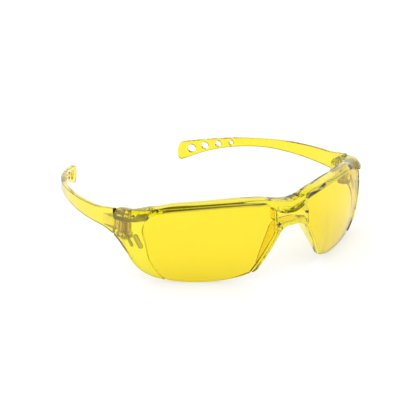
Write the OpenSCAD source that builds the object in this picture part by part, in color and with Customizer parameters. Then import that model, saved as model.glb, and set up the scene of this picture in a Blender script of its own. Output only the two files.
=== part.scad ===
// Wraparound safety glasses: a half-rim front with two snap-in lenses and two folding temples.
// Units are millimetres. X is the wearer's left, Y runs from the lenses to the ears, Z is up.
// The lens edges stand at z = 0, with the temple tips a little above it.

/* [Wrap] */
// Plan radius of the bridge
bridge_r = 54; // [50:1:58]
// Plan radius over each lens
lens_r = 168; // [155:1:180]
// Plan radius of the corner between lens and temple
corner_r = 19; // [17:0.5:21]
// Plan radius of the curved part of a temple
temple_r = 112; // [105:1:120]
// Radius of the vertical bulge of the front
bulge_r = 75; // [65:1:100]
// Height of the fullest point of the bulge
bulge_z = 20.5; // [18:0.5:23]

/* [Front] */
// Thickness of the moulded front around the lenses
front_t = 2.8; // [2.6:0.1:3.2]
// Depth of the brow rail from front to back
rail_depth = 6.2; // [5:0.2:7]
// Depth of the end pieces that carry the hinges
end_depth = 8.5; // [8.4:0.1:8.6]
// Height of the nose opening above the surface the glasses stand on
nose_top = 28.3; // [27:0.1:29.5]
// Corner radius of the nose opening
nose_r = 6; // [5:0.5:7]
// Wall of the nose flange, seen from the front
flange_t = 1.5; // [1.2:0.1:2]
// Depth of the slanted grooves inside each side shield
groove_depth = 1; // [0.5:0.1:1.4]

/* [Lenses] */
// Thickness of a lens
lens_t = 2.2; // [1.8:0.1:2.3]
// How far the lens face sits behind the front's face
lens_step = 0.4; // [0.3:0.1:0.6]
// How deep the lens edge is seated in its groove
lens_seat = 0.8; // [0.5:0.1:1]

/* [Temples] */
// Thickness of a temple strap
strap_t = 2.2; // [1.8:0.1:2.4]
// Diameters of the four holes near the tip, front to back
hole_d = [3.2, 3.8, 4.4, 5];
// Distance between neighbouring holes along the strap
hole_pitch = 7.8; // [7.4:0.1:8.2]

/* [Hinges] */
// Distance of each hinge axis from the middle of the glasses
hinge_x = 67; // [66.8:0.1:67.2]
// Distance of the hinge axes behind the start of the wrap
hinge_y = 46.3; // [46:0.1:46.6]
// Radius of the temple's hinge knuckle
knuckle_r = 2.5; // [2.3:0.1:2.6]
// Radius of the frame's hinge lugs
lug_r = 3.1; // [2.9:0.1:3.3]
// Radius of the hinge pin
pin_r = 0.8; // [0.7:0.05:0.9]
// Running clearance between the pin and the knuckle
run_gap = 0.05; // [0.03:0.01:0.08]
// Clearance above and below the knuckle, and around it
free_gap = 0.3; // [0.2:0.05:0.4]

/* [Hidden] */
$fn = 96;
// Each arc of a wall runs on into the next one by this angle, and every other arc stands
// back by this depth, so that they join in a clean hairline step
lap = 0.5;
hairline = 0.03;

// The plan curve of the outer face is a chain of tangent arcs. A heading of 0 runs
// along X at the bridge and grows as the curve turns back towards the ears.
lens_heading = 22;
corner_heading = 40;
cheek_heading = 86;
tip_heading = 138.4;
cheek_length = 18;
rest_y = -70.8;
function degrees(length, radius) = length / radius * 180 / PI;
function swing(radius, from, to) = radius * [sin(to) - sin(from), cos(from) - cos(to)];
function side_of(heading) = [-sin(heading), cos(heading)];
bridge_p = [0, -6.3 + rest_y];
lens_p = bridge_p + swing(bridge_r, 0, lens_heading);
corner_p = lens_p + swing(lens_r, lens_heading, corner_heading);
cheek_p = corner_p + swing(corner_r, corner_heading, cheek_heading);
strap_p = cheek_p + cheek_length * [cos(cheek_heading), sin(cheek_heading)];
lens_s = bridge_r * lens_heading * PI / 180;
corner_s = lens_s + lens_r * (corner_heading - lens_heading) * PI / 180;
cheek_s = corner_s + corner_r * (cheek_heading - corner_heading) * PI / 180;
strap_s = cheek_s + cheek_length;
joint_s = cheek_s + 6;
tip_s = strap_s + temple_r * (tip_heading - cheek_heading) * PI / 180;

// Point of the plan curve at the distance s from the middle, and its heading there
function heading(s) =
    s < lens_s ? degrees(s, bridge_r) :
    s < corner_s ? lens_heading + degrees(s - lens_s, lens_r) :
    s < cheek_s ? corner_heading + degrees(s - corner_s, corner_r) :
    s < strap_s ? cheek_heading : cheek_heading + degrees(s - strap_s, temple_r);
function plan(s) =
    s < lens_s ? bridge_p + swing(bridge_r, 0, heading(s)) :
    s < corner_s ? lens_p + swing(lens_r, lens_heading, heading(s)) :
    s < cheek_s ? corner_p + swing(corner_r, corner_heading, heading(s)) :
    s < strap_s ? cheek_p + (s - cheek_s) * [cos(cheek_heading), sin(cheek_heading)] :
    strap_p + swing(temple_r, cheek_heading, heading(s));
// How far the bulge falls back from its fullest point at the height z
function fall(z) = bulge_r - sqrt(bulge_r * bulge_r - (z - bulge_z) * (z - bulge_z));
// A point of the bulged face, seen along the diagonal that sees bridge and corner alike
function face(s, z) = plan(s) + fall(z) * side_of(heading(s));
function seen(p) = [for (q = p) let (f = face(q[0], q[1])) [(f[0] + f[1]) / sqrt(2), q[1]]];
// A smooth curve through the points p, which keeps their order
function blend(a, b, c, d, t) =
    0.5 * (2 * b + (c - a) * t + (2 * a - 5 * b + 4 * c - d) * t * t + (3 * b - a - 3 * c + d) * t * t * t);
function curve(p, steps = 3) = let (n = len(p) - 1)
    [for (i = [0:n - 1], k = [0:steps - 1])
        blend(p[max(i - 1, 0)], p[i], p[i + 1], p[min(i + 2, n)], k / steps), p[n]];
function raised(p, by) = [for (q = p) q + by];

// Outlines of the front as [distance along the wrap, height]
brow_line = [[0, 40], [6, 40.6], [12, 41.7], [20, 42.3], [34, 41.8], [50, 40.6], [62, 39.5],
             [69, 38], [75, 37.2], [80, 36.7], [84, 36.2], [88, 35.5], [92, 34.7], [joint_s, 34.1]];
foot_line = [[joint_s, 20.4], [89, 17.8], [84.5, 14], [81, 9.6], [77, 6.2], [72, 3.5], [66, 1.6],
             [57, 0.3], [48, 0.1], [38, 0.8], [30, 2.2], [24, 4.2], [21, 5.5], [18.5, 7.2], [16, 9.5]];
window_top = [[9.8, 36], [10.8, 38], [13.5, 39], [19, 39.4], [28, 39.6], [40, 39], [54, 37.8],
              [66, 36.4], [72, 34.6], [75.4, 31.4]];
window_side = [[75.4, 31.4], [76.2, 27], [74.4, 20.6], [72.4, 12], [69, 6], [64, 1]];
rail_foot = [[-3, 33.6], [4, 33.8], [9.8, 36]];

// Ledge of the end piece, with its flat underside over the hinge and a rim along its front
ledge_top = [[74.8, 36.6], [84, 34.6], [92, 33.1], [joint_s, 32.7]];
rim_top = concat([[74.8, 37.2]], [for (q = brow_line) if (q[0] > 76) q]);
ledge_foot = [[joint_s, 28.6], [90, 29.1], [82, 30.8], [74.8, 32.6]];

hinge = [hinge_x, hinge_y - 6.3 + rest_y];
lug_low = 19.8;
knuckle_low = 22.4;
knuckle_high = 28.2;
pin_high = 33.2;
head_r = 1.4;
head_h = 0.8;

// Nose opening: half the width of its flat top, and how steep its legs are
nose_half = 2.9;
leg_slope = 60.8;
nose_c = [nose_half, nose_top - nose_r];

// Crescent recess under the brow at the bridge
pocket_half = 8;
pocket_top = 39;
pocket_notch = 36.8;
pocket_foot = 34.5;
pocket_back = -2.6 + rest_y;
pocket_r = (pow(pocket_half, 2) + pow(pocket_top - pocket_foot, 2)) / (2 * (pocket_top - pocket_foot));

// Slanted grooves inside a side shield, as [distance, height] of both ends, then the width
grooves = [[[87.2, 24.2], [82.2, 18.6], 1.8], [[80, 23.2], [77.2, 18.9], 2.8]];

// Outline of a temple, from the hinge to the tip
strap_top = [[joint_s + free_gap, 34], [98.5, 33.1], [102, 32.2], [110, 30.2], [120, 28.9],
             [145, 25.5], [170, 21.4], [190, 17.5], [205, 14.4]];
strap_foot = [[206.8, 4.1], [203, 5.7], [198, 8], [188.5, 11.7], [176, 15.2], [160, 18.3], [145, 19.7],
              [120, 20.9], [104, 21.6], [joint_s + free_gap, 20.6]];
tip_end = [[205, 14.4], [208.8, 13.6], [210.7, 11], [210.9, 6.6], [210.2, 4], [208.6, 3.4], [206.8, 4.1]];
last_hole_s = 202.9;
arm_reach = [[-2.3, 0.6], [-1, 10], [4.3, 14], [3.7, 4.8], [1.9, 4.4], [1.9, 1.2]];

// Half of the front's wall between the depths near and far behind the bulged face
module bulged_profile(radius, near, far) {
    intersection() {
        difference() {
            translate([radius - bulge_r, bulge_z]) circle(r = bulge_r - near, $fn = 360);
            translate([radius - bulge_r, bulge_z]) circle(r = bulge_r - far, $fn = 360);
        }
        translate([radius - 14, -2]) square([16, 48]);
    }
}
module flat_profile(radius, near, far) {
    translate([radius - far, -2]) square([far - near, 48]);
}
module sector(start, radius, from, to) {
    translate(start + radius * side_of(from))
        rotate(from - 90)
            rotate_extrude(angle = to - from, $fn = 180) children();
}
module straight(start, length) {
    translate(start) rotate([90, 0, cheek_heading - 90]) translate([0, 0, -length])
        linear_extrude(length) children();
}
module bulged_wall(near, far) {
    sector(bridge_p, bridge_r, 0, lens_heading + lap) bulged_profile(bridge_r, near, far);
    sector(lens_p, lens_r, lens_heading, corner_heading + lap / 2)
        bulged_profile(lens_r, near + hairline, far + hairline);
    sector(corner_p, corner_r, corner_heading, cheek_heading + 2 * lap)
        bulged_profile(corner_r, near, far);
    straight(cheek_p, joint_s - cheek_s)
        translate([-corner_r, 0]) bulged_profile(corner_r, near + hairline, far + hairline);
}
// Solid that cuts a half of the front to the outline p, given as [distance, height]
module seen_prism(p) {
    rotate([90, 0, 45]) linear_extrude(300, center = true) polygon(seen(p));
}
// Solid that fills the nose opening, made wider all round by grow
module nose_prism(grow) {
    r = nose_r + grow;
    turn = [for (a = [90:-leg_slope / 8:89.9 - leg_slope]) nose_c + r * [cos(a), sin(a)]];
    leg = turn[len(turn) - 1];
    foot = [leg[0] + (leg[1] + 4) / tan(leg_slope), -4];
    rotate([90, 0, 0]) linear_extrude(300, center = true)
        polygon(concat([[-2, nose_top + grow]], turn, [foot, [-2, -4]]));
}
module window_prism(grow) {
    top = curve(raised(window_top, [0, grow]));
    side = curve(raised(window_side, [grow, 0]));
    difference() {
        seen_prism(concat([[9.8 - grow, -4]], raised([window_top[0]], [-grow, 0]), top, side, [[64, -4]]));
        nose_prism(flange_t - grow);
    }
}

module lens() {
    intersection() {
        bulged_wall(lens_step, lens_step + lens_t);
        window_prism(lens_seat);
        seen_prism(concat([[joint_s, 45]], curve(foot_line), [[5, 9.5], [5, 45]]));
    }
}

// The moulded front: plate, brow rail, end pieces, nose flange and hinge lugs
module front_plate() {
    difference() {
        intersection() {
            bulged_wall(0, front_t);
            seen_prism(concat([[-3, 40]], curve(brow_line), curve(foot_line), [[-3, 9.5]]));
        }
        window_prism(0);
    }
}
module brow_rail() {
    intersection() {
        bulged_wall(0, rail_depth);
        seen_prism(concat([[-3, 40]], curve([for (q = brow_line) if (q[0] < 76) q]),
                          [for (i = [len(window_top) - 1:-1:0]) window_top[i]],
                          [rail_foot[1], rail_foot[0]]));
    }
}
module end_wall(depth) {
    sector(corner_p, corner_r, corner_heading, cheek_heading + 2 * lap)
        flat_profile(corner_r, 0, depth);
    straight(cheek_p, joint_s - cheek_s)
        translate([-corner_r, 0]) flat_profile(corner_r, hairline, depth + hairline);
}
module end_piece() {
    intersection() {
        end_wall(end_depth);
        seen_prism(concat(ledge_top, ledge_foot));
    }
    intersection() {
        end_wall(front_t);
        seen_prism(concat(rim_top, ledge_foot));
    }
}
module nose_flange() {
    intersection() {
        bulged_wall(0, 11);
        difference() {
            nose_prism(flange_t);
            nose_prism(0);
        }
        translate([0, rest_y, 0]) rotate([90, 0, 90]) linear_extrude(20)
            polygon([[-9, 6.4], [0.2, 6.4], [3.2, 27], [3.2, 32], [-9, 32]]);
    }
}
module lower_lug() {
    translate([hinge[0], hinge[1], lug_low]) {
        cylinder(r = lug_r, h = knuckle_low - free_gap - lug_low);
        translate([0, -lug_r, 0]) cube([3.6, 2 * lug_r, knuckle_low - free_gap - lug_low]);
    }
}
module groove(v) {
    middle = (v[0][0] + v[1][0]) / 2;
    a = face(v[0][0], v[0][1]);
    b = face(v[1][0], v[1][1]);
    run = norm(a - b);
    tilt = atan2(v[0][1] - v[1][1], run);
    length = norm([run, v[0][1] - v[1][1]]);
    translate([b[0], b[1], v[1][1]]) rotate([0, 0, heading(middle)]) rotate([0, -tilt, 0])
        rotate([90, 0, 0]) linear_extrude(12, center = true) {
            circle(r = v[2] / 2);
            translate([0, -v[2] / 2]) square([length, v[2]]);
            translate([length, 0]) circle(r = v[2] / 2);
        }
}
module half_front() {
    difference() {
        union() {
            front_plate();
            brow_rail();
            end_piece();
            nose_flange();
            lower_lug();
        }
        lens();
        nose_prism(0);
        intersection() {
            sector(corner_p, corner_r, corner_heading, cheek_heading)
                bulged_profile(corner_r, front_t - groove_depth, front_t + 2);
            union() {
                for (v = grooves) groove(v);
            }
        }
        translate([hinge[0], hinge[1], 0]) {
            cylinder(r = pin_r, h = 40);
            translate([0, 0, knuckle_low - free_gap])
                cylinder(r = knuckle_r + free_gap, h = knuckle_high - knuckle_low + 2 * free_gap);
            translate([0, 0, pin_high - head_h]) cylinder(r = head_r, h = 5);
        }
    }
}
module pocket() {
    translate([0, pocket_back, 0]) rotate([90, 0, 0]) linear_extrude(10) intersection() {
        translate([0, pocket_foot + pocket_r]) circle(r = pocket_r);
        polygon([[-pocket_half, pocket_top], [0, pocket_notch], [pocket_half, pocket_top],
                 [pocket_half, pocket_foot - 1], [-pocket_half, pocket_foot - 1]]);
    }
}
module frame_front() {
    color([0.86, 0.78, 0.16]) difference() {
        union() {
            half_front();
            mirror([1, 0, 0]) half_front();
        }
        pocket();
    }
}

// A temple: a curved strap with four holes, and the arm that carries its hinge knuckle
module strap_prism(p) {
    rotate([90, 0, 90]) linear_extrude(100) polygon([for (q = p) [plan(q[0])[1], q[1]]]);
}
module paddle_hole(i) {
    s = last_hole_s - (3 - i) * hole_pitch;
    z = (lookup(s, strap_top) + lookup(-s, [for (q = strap_foot) [-q[0], q[1]]])) / 2;
    p = plan(s);
    translate([p[0], p[1], z]) rotate([90, 0, heading(s)]) cylinder(d = hole_d[i], h = 12, center = true);
}
module temple() {
    difference() {
        union() {
            intersection() {
                union() {
                    straight(cheek_p, cheek_length) translate([-corner_r, 0]) flat_profile(corner_r, 0, strap_t);
                    sector(strap_p, temple_r, cheek_heading, tip_heading + 2)
                        flat_profile(temple_r, 0, strap_t);
                }
                strap_prism(concat(curve(strap_top), curve(tip_end), curve(strap_foot)));
            }
            translate([hinge[0], hinge[1], knuckle_low]) {
                cylinder(r = knuckle_r, h = knuckle_high - knuckle_low);
                linear_extrude(knuckle_high - knuckle_low) polygon(arm_reach);
            }
        }
        translate([hinge[0], hinge[1], 0]) cylinder(r = pin_r + run_gap, h = 40);
        for (i = [0:3]) paddle_hole(i);
    }
}
module hinge_pin() {
    translate([hinge[0], hinge[1], lug_low]) cylinder(r = pin_r, h = pin_high - lug_low);
    translate([hinge[0], hinge[1], pin_high - head_h]) cylinder(r = head_r, h = head_h);
}
module lens_left() {
    color([1, 0.91, 0.27]) lens();
}
module lens_right() {
    color([1, 0.91, 0.27]) mirror([1, 0, 0]) lens();
}
module temple_left() {
    color([0.97, 0.89, 0.24]) temple();
}
module temple_right() {
    color([0.97, 0.89, 0.24]) mirror([1, 0, 0]) temple();
}
module hinge_pin_left() {
    color([0.75, 0.68, 0.15]) hinge_pin();
}
module hinge_pin_right() {
    color([0.75, 0.68, 0.15]) mirror([1, 0, 0]) hinge_pin();
}

frame_front();
lens_left();
lens_right();
temple_left();
temple_right();
hinge_pin_left();
hinge_pin_right();
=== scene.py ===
import math
import bmesh
import bpy
import numpy as np
from mathutils import Matrix, Vector
from mathutils.geometry import delaunay_2d_cdt


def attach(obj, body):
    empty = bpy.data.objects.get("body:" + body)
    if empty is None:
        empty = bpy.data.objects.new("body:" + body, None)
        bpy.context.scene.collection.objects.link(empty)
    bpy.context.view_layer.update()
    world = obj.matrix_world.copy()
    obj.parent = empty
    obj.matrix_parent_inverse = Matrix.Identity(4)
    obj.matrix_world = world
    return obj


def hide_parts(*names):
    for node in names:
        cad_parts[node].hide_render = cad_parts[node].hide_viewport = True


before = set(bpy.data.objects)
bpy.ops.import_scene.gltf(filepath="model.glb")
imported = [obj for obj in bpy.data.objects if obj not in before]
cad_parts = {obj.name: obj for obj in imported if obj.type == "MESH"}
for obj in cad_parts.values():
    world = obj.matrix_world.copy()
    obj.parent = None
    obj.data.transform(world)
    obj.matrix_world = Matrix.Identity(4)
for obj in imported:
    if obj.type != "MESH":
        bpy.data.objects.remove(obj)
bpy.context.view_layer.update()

MM = 0.001

# The wrap of the glasses in plan, in millimetres: tangent arcs from the bridge to the
# temple tips. s is the distance along it from the middle, positive to the wearer's left.
REST_Y = -70.8
BRIDGE_Y = -6.3
BRIDGE_R, LENS_R, CORNER_R, TEMPLE_R = 54.0, 168.0, 19.0, 112.0
LENS_H, CORNER_H, CHEEK_H = map(math.radians, (22.0, 40.0, 86.0))
CHEEK_LENGTH, END_LENGTH = 18.0, 6.0
JOINT_GAP = 0.3
BULGE_R, BULGE_Z = 75.0, 20.5
ARCS = ((BRIDGE_R * LENS_H, BRIDGE_R), (LENS_R * (CORNER_H - LENS_H), LENS_R),
        (CORNER_R * (CHEEK_H - CORNER_H), CORNER_R), (CHEEK_LENGTH, None), (math.inf, TEMPLE_R))
JOINT_S = sum(arc[0] for arc in ARCS[:3]) + END_LENGTH

# Depths behind the outer face
FRONT_T, RAIL_T, END_T, LENS_T, STRAP_T = 2.8, 6.2, 8.5, 2.2, 2.2
LENS_STEP = 0.4

LENS_GAP = 0.12  # air between a lens and the front
FLANGE = 1.5  # width of the nose flange
STEP_WALL = 0.25  # width over which a step in depth runs
HEM = 0.08  # flat strip inside each rounded edge
CURVE_STEPS = 8

FRONT_EDGE, STRAP_EDGE = 0.2, 0.3  # radii of the rounded edges

# Places along the wrap where a feature of the front ends, starts or changes
BRIDGE_HALF = 9.0
BRIDGE_END, RAIL_FOOT_END, FLANGE_END, TURN_END, SHIELD_START = 22.0, 24.0, 26.0, 36.0, 66.0
LEDGE_RISE = (68.0, 75.5)
RIM_THIN = 86.0

# Heights between which one feature of the front gives way to the next
RAIL_LOW, FLANGE_TOP = 31.0, 29.0
WINDOW_LOW, BELOW_NOSE = 20.0, 2.0
FLANGE_REAR = ((6.4, 27.0), (0.2, 3.2))  # heights, and the rear edge's places there

# Outlines of the left half, as (s, height)
BROW = [(0, 40), (6, 40.6), (12, 41.7), (20, 42.3), (34, 41.8), (50, 40.6), (62, 39.5),
        (69, 38), (75, 37.2), (80, 36.7), (84, 36.2), (88, 35.5), (92, 34.7), (JOINT_S, 34.1)]
FOOT = [(JOINT_S, 20.4), (89, 17.8), (84.5, 14), (81, 9.6), (77, 6.2), (72, 3.5), (66, 1.6),
        (57, 0.3), (48, 0.1), (38, 0.8), (30, 2.2), (24, 4.2), (21, 5.5), (18.5, 7.2), (16, 9.5)]
WINDOW_TOP = [(9.8, 36), (10.8, 38), (13.5, 39), (19, 39.4), (28, 39.6), (40, 39), (54, 37.8),
              (66, 36.4), (72, 34.6), (75.4, 31.4)]
WINDOW_SIDE = [(75.4, 31.4), (76.2, 27), (74.4, 20.6), (72.4, 12), (69, 6), (64, 1)]
RAIL_FOOT = [(0, 33.6), (4, 33.8), (9.8, 36)]
LEDGE_TOP = [(74.8, 37.2), (84, 34.6), (92, 33.1), (JOINT_S, 32.7)]
LEDGE_FOOT = [(74.8, 32.6), (82, 30.8), (90, 29.1), (JOINT_S, 28.6)]
GROOVES = [((87.2, 24.2), (82.2, 18.6), 1.8), ((80.0, 23.2), (77.2, 18.9), 2.8)]
GROOVE_DEPTH = 1.0
BEVEL = [(24, 0), (34, 0.5), (50, 1.2), (64, 1.9), (75, 2.5), (JOINT_S, 2.6)]
BEVEL_SLOPE = 0.8
NOSE_TOP, NOSE_R, NOSE_HALF, LEG_ANGLE = 28.3, 6.0, 2.9, math.radians(29.2)
POCKET_HALF, POCKET_TOP, POCKET_NOTCH, POCKET_FOOT, POCKET_Y = 8.0, 39.0, 36.8, 34.5, -2.6
STRAP_TOP = [(JOINT_S + JOINT_GAP, 34), (98.5, 33.1), (102, 32.2), (110, 30.2), (120, 28.9),
             (145, 25.5), (170, 21.4), (190, 17.5), (205, 14.4)]
TIP = [(205, 14.4), (208.8, 13.6), (210.7, 11), (210.9, 6.6), (210.2, 4), (208.6, 3.4),
       (206.8, 4.1)]
STRAP_FOOT = [(206.8, 4.1), (203, 5.7), (198, 8), (188.5, 11.7), (176, 15.2), (160, 18.3),
              (145, 19.7), (120, 20.9), (104, 21.6), (JOINT_S + JOINT_GAP, 20.6)]
HOLES = [(179.5, 3.2), (187.3, 3.8), (195.1, 4.4), (202.9, 5.0)]

# Hinge, in plan from its axis and in heights
HINGE = (67.0, 40.0 + REST_Y)
LUG_LOW, KNUCKLE_LOW, KNUCKLE_HIGH, PIN_HIGH = 19.8, 22.4, 28.2, 33.2
LUG_R, KNUCKLE_R, PIN_R, HEAD_R, HEAD_H, FREE = 3.1, 2.5, 0.8, 1.4, 0.8, 0.3
LUG_REACH = 3.6
PRESS_GAP, TURN_GAP = 0.03, 0.05  # air around the pin in the front and in the temple
ARM = [(-1, 10), (4.3, 14), (3.7, 4.8), (1.9, 4.4)]

# How satin parts of the surface are, from 0 for clear to 1, which also sets how much painted
# shade darkens their colour, and the height of the satin band along the foot of the ledge, which
# is painted shade too
HINGE_SATIN_AND_SHADE, FLANGE_SATIN_AND_SHADE, GROOVE_SATIN_AND_SHADE, BAND_SATIN_AND_SHADE = 0.5, 0.6, 1.0, 1.0
CRESCENT_SATIN_AND_SHADE, WALL_SATIN_AND_SHADE = 0.5, 1.0
BAND_HEIGHT = 2.6


def along(s):
    """Plan point and heading of the wrap at the distance s, for s of 0 or more."""
    x, y, h = 0.0, BRIDGE_Y + REST_Y, 0.0
    for length, radius in ARCS:
        run = min(s, length)
        if radius is None:
            x, y = x + run * math.cos(h), y + run * math.sin(h)
        else:
            end = h + run / radius
            x += radius * (math.sin(end) - math.sin(h))
            y += radius * (math.cos(h) - math.cos(end))
            h = end
        s -= run
        if s <= 0:
            break
    return x, y, h


def unit(value):
    """The value held between 0 and 1."""
    return min(max(value, 0.0), 1.0)


def ramp(value, low, high):
    """A smooth rise from 0 at low to 1 at high."""
    t = unit((value - low) / (high - low))
    return t * t * (3 - 2 * t)


def fall(z):
    """How far the bulge of the front falls back at the height z."""
    return BULGE_R - math.sqrt(BULGE_R ** 2 - (z - BULGE_Z) ** 2)


def on_front(s, z, depth):
    """Point at a depth behind the bulged face; near the nose, depth runs straight back."""
    x, y, h = along(abs(s))
    turn = ramp(abs(s), BRIDGE_END, TURN_END)
    back = Vector((-math.sin(h) * turn, 1 + (math.cos(h) - 1) * turn)).normalized()
    x += -math.sin(h) * fall(z) + back.x * depth
    y += math.cos(h) * fall(z) + back.y * depth
    return (math.copysign(x, s) if s else 0.0, y, z)


def on_strap(s, z, depth):
    """Point at a depth behind the outer face of the left temple."""
    x, y, h = along(s)
    return (x - math.sin(h) * depth, y + math.cos(h) * depth, z)


def curve(points, steps=CURVE_STEPS):
    """A smooth curve through the points."""
    p = np.array(points, float)
    out = []
    for i in range(len(p) - 1):
        a, b, c, d = p[max(i - 1, 0)], p[i], p[i + 1], p[min(i + 2, len(p) - 1)]
        for t in np.arange(steps) / steps:
            out.append(0.5 * (2 * b + (c - a) * t + (2 * a - 5 * b + 4 * c - d) * t * t
                              + (3 * b - a - 3 * c + d) * t ** 3))
    return [tuple(q) for q in out] + [tuple(p[-1])]


def height_at(points, s):
    """Height at s of the line through the points."""
    return float(np.interp(s, [p[0] for p in points], [p[1] for p in points]))


def nose_distance(x, z):
    """Distance outside the nose opening, in front view."""
    dx, dz = abs(x) - NOSE_HALF, z - (NOSE_TOP - NOSE_R)
    angle = math.atan2(dz, dx)
    if dx < 0 and dz > 0:
        return z - NOSE_TOP
    if angle >= LEG_ANGLE:
        return math.hypot(dx, dz) - NOSE_R
    return dx * math.cos(LEG_ANGLE) + dz * math.sin(LEG_ANGLE) - NOSE_R


def s_of_x(x):
    """Distance along the bridge and lens arcs of the plan point at x."""
    low, high = 0.0, 60.0
    while high - low > 1e-4:
        middle = (low + high) / 2
        if along(middle)[0] < x:
            low = middle
        else:
            high = middle
    return low


def nose_line(grow, foot_z):
    """The left half of the nose opening's edge, grown by grow, from the top down to foot_z."""
    r = NOSE_R + grow
    points = [(0.0, NOSE_TOP + grow), (NOSE_HALF / 2, NOSE_TOP + grow)]
    for k in range(13):
        a = math.pi / 2 + (LEG_ANGLE - math.pi / 2) * k / 12
        points.append((NOSE_HALF + r * math.cos(a), NOSE_TOP - NOSE_R + r * math.sin(a)))
    x, z = points[-1]
    points.append((x + (z - foot_z) * math.tan(LEG_ANGLE), foot_z))
    return [(s_of_x(x), z) for x, z in points]


def crossing(a, b, c, d):
    """Where the segment from a to b crosses the segment from c to d, or None."""
    p, r = np.array(a, float), np.array(b, float) - np.array(a, float)
    q, w = np.array(c, float), np.array(d, float) - np.array(c, float)
    cross = r[0] * w[1] - r[1] * w[0]
    if abs(cross) < 1e-9:
        return None
    t = ((q - p)[0] * w[1] - (q - p)[1] * w[0]) / cross
    u = ((q - p)[0] * r[1] - (q - p)[1] * r[0]) / cross
    return tuple(p + t * r) if 0 <= t <= 1 and 0 <= u <= 1 else None


def join(first, second):
    """First up to where it crosses second, and then second from there on."""
    for i in range(len(first) - 1):
        for k in range(len(second) - 1):
            at = crossing(first[i], first[i + 1], second[k], second[k + 1])
            if at:
                return first[:i + 1] + [at] + second[k + 1:]
    return first + second


def resample(loop, gap):
    """The closed loop with its corners rounded, and points an even gap apart."""
    p = np.array(loop, float)
    p = p[np.linalg.norm(p - np.roll(p, 1, 0), axis=1) > 1e-6]
    closed = np.vstack([p, p[:1]])
    run = np.concatenate([[0], np.cumsum(np.linalg.norm(np.diff(closed, axis=0), axis=1))])
    count = int(round(run[-1] / gap))
    at = np.arange(count) / count * run[-1]
    out = np.column_stack([np.interp(at, run, closed[:, k]) for k in (0, 1)])
    for _ in range(6):
        out = (np.roll(out, 1, 0) + 2 * out + np.roll(out, -1, 0)) / 4
    return out


def turned(loop, clockwise=False):
    """The loop, run through anticlockwise unless asked otherwise."""
    (x, z), (next_x, next_z) = loop.T, np.roll(loop, -1, 0).T
    area = float(np.sum(x * next_z - next_x * z))
    return loop[::-1] if (area < 0) != clockwise else loop


def inside(points, loops):
    """Which points lie inside the area that the loops bound."""
    hit = np.zeros(len(points), bool)
    for loop in loops:
        a, b = loop, np.roll(loop, -1, 0)
        for k in range(len(a)):
            if a[k, 1] != b[k, 1]:
                between = (a[k, 1] > points[:, 1]) != (b[k, 1] > points[:, 1])
                x = a[k, 0] + (points[:, 1] - a[k, 1]) * (b[k, 0] - a[k, 0]) / (b[k, 1] - a[k, 1])
                hit ^= between & (points[:, 0] < x)
    return hit


def clearance(points, loops):
    """Distance from each point to the nearest point of the loops."""
    edge = np.vstack(loops)
    out = np.empty(len(points))
    for k in range(0, len(points), 500):
        part = points[k:k + 500]
        out[k:k + 500] = np.sqrt(((part[:, None] - edge[None]) ** 2).sum(2)).min(1)
    return out


def room(outline):
    """How far each point of the outline can move inwards before its neighbours cross."""
    step = np.roll(outline, -1, 0) - outline
    length = np.linalg.norm(step, axis=1)
    heading = np.arctan2(step[:, 1], step[:, 0])
    turn = (heading - np.roll(heading, 1) + math.pi) % (2 * math.pi) - math.pi
    radius = (length + np.roll(length, 1)) / 2 / np.maximum(turn, 1e-3)
    for _ in range(20):
        beside = np.minimum(np.roll(radius, 1) + 0.3 * np.roll(length, 1),
                            np.roll(radius, -1) + 0.3 * length)
        radius = np.minimum(radius, beside)
    return 0.7 * radius


def band(a, b, count):
    """The faces between two rings of count points that start at the points a and b."""
    return [(a + k, a + (k + 1) % count, b + (k + 1) % count, b + k) for k in range(count)]


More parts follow.
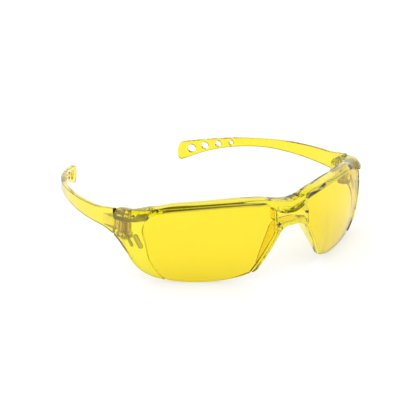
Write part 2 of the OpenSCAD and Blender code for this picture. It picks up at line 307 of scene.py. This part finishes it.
def wall(name, loops, place, near, far, edge=0.3, gap=0.4, pitch=1.5, creases=(), satin=None):
    """A closed body over the area inside the loops, from the depth near to the depth far, with
    rounded edges. Creases are lines that the two faces must follow. Satin says how satin the
    near and the far face are at a place, which also sets how much painted shade darkens them."""
    outlines = [turned(resample(loops[0], gap))]
    outlines += [turned(resample(loop, gap), clockwise=True) for loop in loops[1:]]
    quarter = [math.radians(a) for a in (0, 30, 60, 90)]
    profile = [(edge + HEM, 0.0, near)]
    profile += [(edge * (1 - math.sin(a)), edge * (1 - math.cos(a)), near) for a in quarter]
    profile += [(edge * (1 - math.sin(a)), -edge * (1 - math.cos(a)), far) for a in quarter[::-1]]
    profile += [(edge + HEM, 0.0, far)]
    points, faces, hems, satin_and_shade = [], [], [], []
    for outline in outlines:
        tangent = np.roll(outline, -1, 0) - np.roll(outline, 1, 0)
        tangent /= np.linalg.norm(tangent, axis=1)[:, None]
        inward = np.column_stack([-tangent[:, 1], tangent[:, 0]])
        inward *= np.minimum(1.0, room(outline) / profile[0][0])[:, None]
        count = len(outline)
        start = len(points)
        for inset, depth, side in profile:
            for q in outline + inset * inward:
                points.append(place(q[0], q[1], side(q[0], q[1]) + depth))
        for ring in range(len(profile) - 1):
            a, b = start + ring * count, start + (ring + 1) * count
            faces += band(a, b, count)
        hems.append((outline + profile[0][0] * inward, start, start + (len(profile) - 1) * count))
    hem_loops = [hem[0] for hem in hems]
    low, high = hem_loops[0].min(0), hem_loops[0].max(0)
    grid = np.array([(u + pitch / 2 * (row % 2), v)
                     for row, v in enumerate(np.arange(low[1], high[1], pitch * 0.87))
                     for u in np.arange(low[0], high[0], pitch)])
    grid = grid[inside(grid, hem_loops)]
    grid = grid[clearance(grid, hem_loops) > 0.6 * pitch]
    lines = [np.array([q for q in line], float) for line in creases]
    if lines:
        grid = grid[clearance(grid, lines) > 0.5 * pitch]
    for side, offset in ((near, 1), (far, 2)):
        flat, segments, origin = [], [], []
        for hem in hems:
            count = len(hem[0])
            first = len(flat)
            flat += [Vector(q) for q in hem[0]]
            origin += [hem[offset] + k for k in range(count)]
            segments += [(first + k, first + (k + 1) % count) for k in range(count)]
        for line in lines:
            keep = inside(line, hem_loops) & (clearance(line, hem_loops) > 0.3)
            for k, q in enumerate(line):
                if keep[k]:
                    flat.append(Vector(q))
                    origin.append(None)
                    if k and keep[k - 1]:
                        segments.append((len(flat) - 2, len(flat) - 1))
        flat += [Vector(q) for q in grid]
        origin += [None] * len(grid)
        at, _, triangles, source, _, _ = delaunay_2d_cdt(flat, segments, [], 1, 1e-6)
        middles = np.array([sum((at[i] for i in t), Vector((0, 0))) / 3 for t in triangles])
        kept = ~inside(middles, hem_loops[1:])
        if satin:
            satin_and_shade += [0.0] * (len(faces) - len(satin_and_shade))
            satin_and_shade += [satin(*q)[offset - 1] for q in middles[kept]]
        index = []
        for q, came_from in zip(at, source):
            old = [origin[i] for i in came_from if origin[i] is not None]
            if old:
                index.append(old[0])
            else:
                index.append(len(points))
                points.append(place(q[0], q[1], side(q[0], q[1])))
        faces += [tuple(index[i] for i in t) for t, keep in zip(triangles, kept) if keep]
    return solid(name, points, faces, satin_and_shade)


def solid(name, points, faces, satin_and_shade=()):
    """An object from points in millimetres, with its faces turned outwards and no loose points.
    The last argument holds how satin each face is, which also sets how much painted shade darkens
    it."""
    mesh = bpy.data.meshes.new(name)
    mesh.from_pydata([Vector(p) * MM for p in points], [], faces)
    if len(satin_and_shade):
        # the satin attribute sets roughness and also darkens the colour as painted shade
        layer = mesh.attributes.new("satin", "FLOAT", "FACE")
        layer.data.foreach_set("value", satin_and_shade)
    work = bmesh.new()
    work.from_mesh(mesh)
    bmesh.ops.remove_doubles(work, verts=work.verts, dist=1e-7)
    bmesh.ops.delete(work, geom=[v for v in work.verts if not v.link_faces], context="VERTS")
    bmesh.ops.recalc_face_normals(work, faces=work.faces)
    if work.calc_volume(signed=True) < 0:
        bmesh.ops.reverse_faces(work, faces=work.faces)
    work.to_mesh(mesh)
    work.free()
    thing = bpy.data.objects.new(name, mesh)
    bpy.context.scene.collection.objects.link(thing)
    return thing


def prism(name, outline, low, high, edge=0.2, gap=0.35):
    """An upright body with rounded edges over a plan outline measured from the hinge axis."""
    def place(u, v, depth):
        return (HINGE[0] + u, HINGE[1] + v, depth)
    return wall(name, [outline], place, lambda u, v: low, lambda u, v: high,
                edge=edge, gap=gap, pitch=0.8)


def circle(radius, centre=(0.0, 0.0), count=48):
    return [(centre[0] + radius * math.cos(2 * math.pi * k / count),
             centre[1] + radius * math.sin(2 * math.pi * k / count)) for k in range(count)]


def turned_body(name, profile, count=48):
    """A body turned about the hinge axis, from (radius, height) pairs that start and end on it."""
    points, faces = [], []
    for r, z in profile[1:-1]:
        points += [(HINGE[0] + x, HINGE[1] + y, z) for x, y in circle(r, count=count)]
    for ring in range(len(profile) - 3):
        a, b = ring * count, (ring + 1) * count
        faces += band(a, b, count)
    for z, ring in ((profile[0][1], 0), (profile[-1][1], len(profile) - 3)):
        points.append((HINGE[0], HINGE[1], z))
        faces += [(ring * count + k, ring * count + (k + 1) % count, len(points) - 1)
                  for k in range(count)]
    return solid(name, points, faces)


def combine(thing, tools, operation):
    """Join or cut thing by each tool, and drop the tools."""
    for tool in tools:
        change = thing.modifiers.new("change", "BOOLEAN")
        change.operation, change.object, change.solver = operation, tool, "EXACT"
        bpy.context.view_layer.update()
        graph = bpy.context.evaluated_depsgraph_get()
        mesh = bpy.data.meshes.new_from_object(thing.evaluated_get(graph))
        thing.modifiers.clear()
        thing.data = mesh
        bpy.data.objects.remove(tool)
    return thing


def mirrored(thing, name):
    mesh = thing.data.copy()
    mesh.transform(Matrix.Diagonal((-1, 1, 1, 1)))
    mesh.flip_normals()
    copy = bpy.data.objects.new(name, mesh)
    bpy.context.scene.collection.objects.link(copy)
    return copy


def satin_and_shade_all(thing):
    """Give every face of the thing the hinge's satin value, which also darkens it with painted
    shade.
    """
    layer = thing.data.attributes.new("satin", "FLOAT", "FACE")
    layer.data.foreach_set("value", [HINGE_SATIN_AND_SHADE] * len(thing.data.polygons))
    return thing


def doubled(thing):
    """The thing together with its mirror image, in one mesh."""
    work = bmesh.new()
    work.from_mesh(thing.data)
    image = thing.data.copy()
    image.transform(Matrix.Diagonal((-1, 1, 1, 1)))
    image.flip_normals()
    work.from_mesh(image)
    work.to_mesh(thing.data)
    work.free()
    return thing


def smooth(thing):
    """Shade the thing smooth, with its corners kept sharp."""
    thing.data.polygons.foreach_set("use_smooth", [True] * len(thing.data.polygons))
    thing.data.set_sharp_from_angle(angle=math.radians(38))


def flipped(line):
    return [(-s, z) for s, z in line]


def both_sides(line):
    """The left half's line, from the middle out, with its mirror image before it."""
    return flipped([q for q in line[::-1] if q[0] > 0]) + line


# Front

# The crescent recess lies between an arc below and two slopes above
POCKET_R = (POCKET_HALF ** 2 + (POCKET_TOP - POCKET_FOOT) ** 2) / (2 * (POCKET_TOP - POCKET_FOOT))
POCKET_SLOPE = (POCKET_TOP - POCKET_NOTCH) / POCKET_HALF


def pocket_inside(x, z):
    """How far inside the crescent recess a point of the front view lies."""
    lower = POCKET_R - math.hypot(x, z - (POCKET_FOOT + POCKET_R))
    upper = (POCKET_NOTCH + POCKET_SLOPE * abs(x) - z) / math.hypot(1, POCKET_SLOPE)
    return min(lower, upper)


def pocket_line(inset):
    """The left half of the crescent recess's outline, inset by inset."""
    lift = inset * math.hypot(1, POCKET_SLOPE)
    half = [(x, POCKET_NOTCH + POCKET_SLOPE * x - lift) for x in np.linspace(0, POCKET_HALF, 15)]
    half = [q for q in half if pocket_inside(*q) > inset - 0.02]
    span = half[-1][0]
    half += [(x, POCKET_FOOT + POCKET_R - math.sqrt((POCKET_R - inset) ** 2 - x * x))
             for x in np.linspace(span, 0, 17)[1:]]
    return half


def ledge_share(s, z):
    """1 on the ledge over the hinge, which stands proud and deep, and 0 off it."""
    return ramp(s, *LEDGE_RISE) * unit((z - height_at(LEDGE_FOOT, s)) / STEP_WALL)


def near_front(s, z):
    """Depth of the front's outer face: the ledge stands proud, the brow's front edge is
    bevelled, and the crescent lies deep."""
    s = abs(s)
    x, y, _ = along(s)
    if s > BRIDGE_END:
        bevel = BEVEL_SLOPE * max(z - (height_at(BROW, s) - height_at(BEVEL, s)), 0.0)
        return bevel - fall(z) * ledge_share(s, z)
    if s > POCKET_HALF + 1:
        return 0.0
    deep = POCKET_Y + REST_Y - (y + fall(z))
    return deep * unit(pocket_inside(x, z) / STEP_WALL)


def flange_back(s, z):
    """Depth of the nose flange, whose rear edge leans forward towards its foot."""
    _, y, heading = along(abs(s))
    return np.interp(z, *FLANGE_REAR) + REST_Y - (y + fall(z) * math.cos(heading))


def groove_share(s, z):
    """1 in the slanted grooves inside the side shield, and 0 off them."""
    most = 0.0
    for (s1, z1), (s2, z2), width in GROOVES:
        run = np.array((s1 - s2, z1 - z2))
        t = unit(float(np.dot((s - s2, z - z2), run) / np.dot(run, run)))
        inside_by = width / 2 - math.hypot(s - s2 - t * run[0], z - z2 - t * run[1])
        most = max(most, min(inside_by / STEP_WALL, 1.0))
    return most


def far_front(s, z):
    """Depth of the front's inner face: rail, end pieces and nose flange are deeper."""
    s = abs(s)
    if s > SHIELD_START:
        plain = RAIL_T if s < LEDGE_FOOT[0][0] and z > RAIL_LOW else FRONT_T
        rim = RAIL_T + (FRONT_T - RAIL_T) * ramp(s, LEDGE_TOP[0][0], RIM_THIN)
        rise = max(height_at(BROW, s) - height_at(LEDGE_TOP, s), STEP_WALL)
        lean = unit((height_at(BROW, s) - z) / rise)
        behind = rim + (END_T - fall(z) - rim) * lean
        depth = plain + (behind - plain) * ledge_share(s, z)
        return depth - GROOVE_DEPTH * groove_share(s, z)
    if z > height_at(RAIL_FOOT, s) and s < RAIL_FOOT_END:
        over = z - height_at(RAIL_FOOT, s)
        return FRONT_T + (RAIL_T - FRONT_T) * unit(over / STEP_WALL)
    if s < FLANGE_END and nose_distance(along(s)[0], z) < FLANGE + 0.3:
        out = nose_distance(along(s)[0], z) - (FLANGE - STEP_WALL)
        share = 1 - unit(out / STEP_WALL) if z > FLANGE_TOP else 1.0
        return FRONT_T + (flange_back(s, z) - FRONT_T) * share
    return RAIL_T if z > RAIL_LOW and s > BRIDGE_HALF else FRONT_T


def front_outline():
    """The left half of the front: brow, joint with the temple, side shield, window, flange."""
    path = join(curve(BROW) + curve(FOOT), curve(WINDOW_SIDE)[::-1])
    path = join(path + curve(WINDOW_TOP)[::-1] + [(WINDOW_TOP[0][0], WINDOW_LOW)],
                nose_line(FLANGE, BELOW_NOSE))
    foot_by_nose = curve(FOOT)[10 * CURVE_STEPS:]
    path = join(path, foot_by_nose)
    return join(path, nose_line(0, BELOW_NOSE)[::-1])


def lens_outline():
    """The lens fills the window up to a hairline; its lower edge is free."""
    nose_s = WINDOW_TOP[0][0] + LENS_GAP
    path = [(s, z - LENS_GAP) for s, z in curve(WINDOW_TOP)[1:-1]]
    path = join(path + [(s - LENS_GAP, z) for s, z in curve(WINDOW_SIDE)], curve(FOOT))
    path = join(path, nose_line(FLANGE + LENS_GAP, BELOW_NOSE)[::-1])
    return join(path, [(nose_s, WINDOW_LOW), (nose_s, WINDOW_TOP[0][1])])


def groove_outline(groove, inset):
    """Closed outline of a groove, inset by inset."""
    (s1, z1), (s2, z2), width = groove
    r = width / 2 - inset
    tilt = math.atan2(z1 - z2, s1 - s2)
    turn = [math.pi * k / 12 for k in range(13)]
    upper = [(s1 + r * math.sin(a + tilt), z1 - r * math.cos(a + tilt)) for a in turn]
    lower = [(s2 - r * math.sin(a + tilt), z2 + r * math.cos(a + tilt)) for a in turn]
    return upper + lower + upper[:1]


def front_creases():
    """The lines along which the front's faces change depth."""
    lines = []
    for shift in (0.0, STEP_WALL):
        lines.append(both_sides([(s, z + shift) for s, z in curve(RAIL_FOOT, 6)]))
        flange = nose_line(FLANGE - shift, WINDOW_LOW)
        lines.append(both_sides([q for q in flange if q[1] > FLANGE_TOP - 3]))
        one_side = [[(s, z + shift) for s, z in curve(LEDGE_FOOT)]]
        one_side += [groove_outline(groove, shift) for groove in GROOVES]
        lines += one_side + [flipped(line) for line in one_side]
        pocket = [(s_of_x(x), z) for x, z in pocket_line(shift)]
        lines.append(flipped(pocket[::-1]) + pocket)
    bevel = [(s, height_at(BROW, s) - height_at(BEVEL, s)) for s in np.arange(30, JOINT_S, 1.5)]
    ledge = curve(LEDGE_TOP)
    return lines + [bevel, flipped(bevel), ledge, flipped(ledge)]


def front_satin_and_shade(s, z):
    """How satin the outer and the inner face of the front are at a place; the same values paint
    shade on the crescent, its walls, the grooves, the band along the ledge and the flange.
    """
    s = abs(s)
    x = along(s)[0]
    outer = 0.0
    if s < POCKET_HALF and pocket_inside(x, z) > 0:
        outer = WALL_SATIN_AND_SHADE if pocket_inside(x, z) < STEP_WALL else CRESCENT_SATIN_AND_SHADE
    over = z - height_at(LEDGE_FOOT, s)
    by_ledge = s > LEDGE_FOOT[0][0]
    if groove_share(s, z) > 0 or (by_ledge and -2 * STEP_WALL < over < STEP_WALL):
        return (outer, GROOVE_SATIN_AND_SHADE)
    # the band along the foot of the ledge: satin, and darkened as painted shade
    if by_ledge and 0 < over < BAND_HEIGHT:
        return (BAND_SATIN_AND_SHADE, 0.0)
    on_flange = s < FLANGE_END and z < NOSE_TOP and nose_distance(x, z) < FLANGE
    return (outer, FLANGE_SATIN_AND_SHADE if on_flange else 0.0)


def arc(radius, start, end, count=24):
    """Points of an arc about the hinge axis, between two angles in degrees."""
    angles = np.radians(np.linspace(start, end, count))
    return [(radius * math.cos(a), radius * math.sin(a)) for a in angles]


def make_front():
    left = front_outline()
    whole = left + flipped([q for q in left[::-1] if q[0] > 1e-6])
    front = wall("front_moulding", [whole], on_front, near_front, far_front, edge=FRONT_EDGE,
                 creases=front_creases(), satin=front_satin_and_shade)
    lug = prism("lug", [(LUG_REACH, -LUG_R), (LUG_REACH, LUG_R)] + arc(LUG_R, 90, 270),
                LUG_LOW, KNUCKLE_LOW - FREE)
    room_r, low, high = KNUCKLE_R + FREE, KNUCKLE_LOW - FREE, KNUCKLE_HIGH + FREE
    pocket = turned_body("pocket", [(0, low), (room_r, low), (room_r, high), (0, high)])
    seat_r, head_r, head_low = PIN_R + PRESS_GAP, HEAD_R + PRESS_GAP, PIN_HIGH - HEAD_H
    below, above = LUG_LOW - 2, PIN_HIGH + 3  # clear of the lug and of the ledge
    bore = turned_body("bore", [(0, below), (seat_r, below), (seat_r, head_low),
                                (head_r, head_low), (head_r, above), (0, above)])
    combine(front, [doubled(satin_and_shade_all(lug))], "UNION")
    combine(front, [doubled(satin_and_shade_all(pocket)), doubled(satin_and_shade_all(bore))], "DIFFERENCE")
    smooth(front)
    return front


def make_lens():
    lens = wall("left_lens", [lens_outline()], on_front, lambda s, z: LENS_STEP,
                lambda s, z: LENS_STEP + LENS_T, edge=FRONT_EDGE)
    smooth(lens)
    return lens


def make_temple():
    top, foot = STRAP_TOP, STRAP_FOOT[::-1]
    holes = [circle(d / 2, (s, (height_at(top, s) + height_at(foot, s)) / 2)) for s, d in HOLES]
    outline = curve(STRAP_TOP) + curve(TIP)[1:] + curve(STRAP_FOOT)[1:]
    temple = wall("left_temple", [outline] + holes, on_strap, lambda s, z: 0.0,
                  lambda s, z: STRAP_T, edge=STRAP_EDGE)
    arm = prism("arm", ARM + arc(KNUCKLE_R, 40, -194), KNUCKLE_LOW, KNUCKLE_HIGH)
    low, high = KNUCKLE_LOW - 1, KNUCKLE_HIGH + 1  # clear of the knuckle
    bore_r = PIN_R + TURN_GAP
    bore = turned_body("bore", [(0, low), (bore_r, low), (bore_r, high), (0, high)])
    combine(temple, [satin_and_shade_all(arm)], "UNION")
    combine(temple, [satin_and_shade_all(bore)], "DIFFERENCE")
    smooth(temple)
    return temple


def make_pin():
    """The pin: a chamfered foot, a shank and a head with a rounded rim."""
    chamfer, step, dome = 0.15, 0.1, 0.4
    profile = [(0, LUG_LOW), (PIN_R - chamfer, LUG_LOW), (PIN_R, LUG_LOW + chamfer),
               (PIN_R, PIN_HIGH - HEAD_H), (HEAD_R - step, PIN_HIGH - HEAD_H),
               (HEAD_R, PIN_HIGH - HEAD_H + step)]
    profile += [(HEAD_R - dome + dome * math.cos(a), PIN_HIGH - dome + dome * math.sin(a))
                for a in np.radians([0, 22, 45, 67, 90])]
    pin = turned_body("left_hinge_pin", profile + [(0, PIN_HIGH)])
    smooth(pin)
    return pin


# Materials

# roughness of a fully satin face, and the share of its tint left once painted shade darkens it
SATIN_ROUGHNESS, PAINTED_SHADE_DIM = 0.5, 0.35


def amber(slot, tint, absorb, density, ripple, roughness, ior):
    """Clear amber plastic: tinted, darker where it is thick, with the faint flow marks and
    handling haze of a moulding, and with painted shade darkening the tint where the satin
    attribute is high. Ripple is how high the flow marks stand, in metres."""
    material = bpy.data.materials.new(slot + "_amber")
    material.use_nodes = True
    nodes, links = material.node_tree.nodes, material.node_tree.links
    shader = nodes["Principled BSDF"]
    shader.inputs["Transmission Weight"].default_value = 1.0
    shader.inputs["IOR"].default_value = ior
    where = nodes.new("ShaderNodeTexCoord")

    def noise(scale, detail):
        texture = nodes.new("ShaderNodeTexNoise")
        texture.inputs["Scale"].default_value = scale
        texture.inputs["Detail"].default_value = detail
        links.new(where.outputs["Object"], texture.inputs["Vector"])
        return texture.outputs["Fac"]

    def between(value, low, high):
        spread = nodes.new("ShaderNodeMapRange")
        spread.inputs["From Min"].default_value = 0.3
        spread.inputs["From Max"].default_value = 0.7
        spread.inputs["To Min"].default_value = low
        spread.inputs["To Max"].default_value = high
        links.new(value, spread.inputs["Value"])
        return spread.outputs["Result"]

    def mix(share, first, second):
        shade = nodes.new("ShaderNodeMix")
        shade.data_type = "RGBA"
        links.new(share, shade.inputs[0])
        if isinstance(first, tuple):
            shade.inputs[6].default_value = first
        else:
            links.new(first, shade.inputs[6])
        shade.inputs[7].default_value = second
        return shade.outputs[2]

    # The satin attribute roughens the surface and also darkens the tint to about a third of
    # itself: painted shade on the hinge, flange, grooves, ledge band and crescent
    satin_and_shade = nodes.new("ShaderNodeAttribute")
    satin_and_shade.attribute_name = "satin"
    painted_shade_share = nodes.new("ShaderNodeMath")
    painted_shade_share.operation = "POWER"
    painted_shade_share.inputs[1].default_value = 3
    links.new(satin_and_shade.outputs["Fac"], painted_shade_share.inputs[0])
    clear = mix(noise(60, 2), (*tint, 1), (*[c * 0.97 for c in tint], 1))
    shade = mix(painted_shade_share.outputs["Value"], clear, (*[c * PAINTED_SHADE_DIM for c in tint], 1))
    links.new(shade, shader.inputs["Base Color"])
    satin = nodes.new("ShaderNodeMath")
    satin.operation = "MULTIPLY_ADD"
    satin.inputs[1].default_value = SATIN_ROUGHNESS
    links.new(satin_and_shade.outputs["Fac"], satin.inputs[0])
    links.new(between(noise(900, 3), roughness * 0.6, roughness * 1.4), satin.inputs[2])
    links.new(satin.outputs["Value"], shader.inputs["Roughness"])
    bump = nodes.new("ShaderNodeBump")
    bump.inputs["Strength"].default_value = 0.25
    bump.inputs["Distance"].default_value = ripple
    links.new(noise(55, 1), bump.inputs["Height"])
    links.new(bump.outputs["Normal"], shader.inputs["Normal"])
    depth = nodes.new("ShaderNodeVolumeAbsorption")
    depth.inputs["Color"].default_value = (*absorb, 1)
    depth.inputs["Density"].default_value = density
    links.new(depth.outputs["Volume"], nodes["Material Output"].inputs["Volume"])
    return material


def matte_white():
    material = bpy.data.materials.new("white_floor")
    material.use_nodes = True
    shader = material.node_tree.nodes["Principled BSDF"]
    shader.inputs["Base Color"].default_value = (0.9, 0.9, 0.9, 1)
    shader.inputs["Roughness"].default_value = 0.9
    shader.inputs["Specular IOR Level"].default_value = 0.1
    return material


front = make_front()
left_lens = make_lens()
left_temple = make_temple()
left_pin = make_pin()
pieces = [
    (front, "front", "frame", ["frame_front"]),
    (left_lens, "front", "lens", ["lens_left"]),
    (mirrored(left_lens, "right_lens"), "front", "lens", ["lens_right"]),
    (left_temple, "temple_left", "temple", ["temple_left"]),
    (mirrored(left_temple, "right_temple"), "temple_right", "temple", ["temple_right"]),
    (left_pin, "front", "pin", ["hinge_pin_left"]),
    (mirrored(left_pin, "right_hinge_pin"), "front", "pin", ["hinge_pin_right"]),
]
looks = {slot: amber(slot, *look) for slot, look in {
    "lens": ((0.98, 0.805, 0.055), (0.985, 0.965, 0.50), 500, 0.00006, 0.02, 1.3),
    "frame": ((0.97, 0.85, 0.03), (0.975, 0.968, 0.60), 400, 0.0001, 0.03, 1.55),
    "temple": ((0.98, 0.84, 0.03), (0.98, 0.965, 0.50), 500, 0.0001, 0.03, 1.55),
    "pin": ((0.9, 0.78, 0.12), (0.95, 0.92, 0.4), 800, 0.00005, 0.3, 1.55),
}.items()}
for piece, body, slot, nodes_replaced in pieces:
    piece.data.materials.clear()
    piece.data.materials.append(looks[slot])
    piece.visible_shadow = False
    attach(piece, body)
    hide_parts(*nodes_replaced)


# Floor, light and camera

SWEEP_WHITE, WHITE_TO = (1.0, 1.0, 1.0), 0.45
SWEEP_DARK, DARK_FROM = (0.13, 0.13, 0.13), 0.65


def make_floor():
    half = 3.0
    mesh = bpy.data.meshes.new("floor")
    mesh.from_pydata([(-half, -half, 0), (half, -half, 0), (half, half, 0), (-half, half, 0)],
                     [], [(0, 1, 2, 3)])
    floor = bpy.data.objects.new("floor", mesh)
    bpy.context.scene.collection.objects.link(floor)
    mesh.materials.append(matte_white())


def make_light(name, place, aim, size, power):
    data = bpy.data.lights.new(name, "AREA")
    data.shape, data.size, data.energy = "SQUARE", size, power
    lamp = bpy.data.objects.new(name, data)
    lamp.location = place
    lamp.rotation_euler = (Vector(aim) - Vector(place)).to_track_quat("-Z", "Y").to_euler()
    lamp.visible_transmission = lamp.visible_glossy = False
    bpy.context.scene.collection.objects.link(lamp)


def make_surround():
    """The studio around the floor: a white sweep that darkens a little above the horizon."""
    world = bpy.data.worlds.new("studio")
    world.use_nodes = True
    nodes, links = world.node_tree.nodes, world.node_tree.links
    where = nodes.new("ShaderNodeTexCoord")
    parts = nodes.new("ShaderNodeSeparateXYZ")
    ramp_node = nodes.new("ShaderNodeValToRGB")
    stops = ramp_node.color_ramp.elements
    stops[0].position, stops[0].color = WHITE_TO, (*SWEEP_WHITE, 1)
    stops[1].position, stops[1].color = DARK_FROM, (*SWEEP_DARK, 1)
    links.new(where.outputs["Generated"], parts.inputs["Vector"])
    links.new(parts.outputs["Z"], ramp_node.inputs["Fac"])
    links.new(ramp_node.outputs["Color"], nodes["Background"].inputs["Color"])
    bpy.context.scene.world = world


def make_camera():
    """The camera stands to the wearer's right, a little above the lenses, tipped slightly."""
    azimuth, elevation, roll = map(math.radians, (35.07, 23.39, 1.78))
    distance, aside, above, aim_z, lens = 800.0, 38.02, 4.63, 38.75, 141.3
    forward = Vector((math.sin(azimuth) * math.cos(elevation),
                      math.cos(azimuth) * math.cos(elevation), -math.sin(elevation)))
    level = Vector((math.cos(azimuth), -math.sin(azimuth), 0))
    upright = level.cross(forward)
    right = level * math.cos(roll) + upright * math.sin(roll)
    up = upright * math.cos(roll) - level * math.sin(roll)
    place = Vector((0, REST_Y, aim_z)) - aside * right - above * up - distance * forward
    data = bpy.data.cameras.new("camera")
    data.lens, data.sensor_width, data.clip_start = lens, 36.0, 0.01
    camera = bpy.data.objects.new("camera", data)
    camera.matrix_world = Matrix.Translation(place * MM) @ Matrix(
        (right, up, -forward)).transposed().to_4x4()
    bpy.context.scene.collection.objects.link(camera)
    bpy.context.scene.camera = camera


make_floor()
make_light("overhead", (0.0, 0.0, 2.4), (0, 0, 0), 5.0, 112)
make_light("left_softbox", (-1.4, -0.9, 0.9), (0, 0, 0), 0.9, 4)
make_camera()
bpy.context.scene.view_settings.view_transform = "Standard"
make_surround()
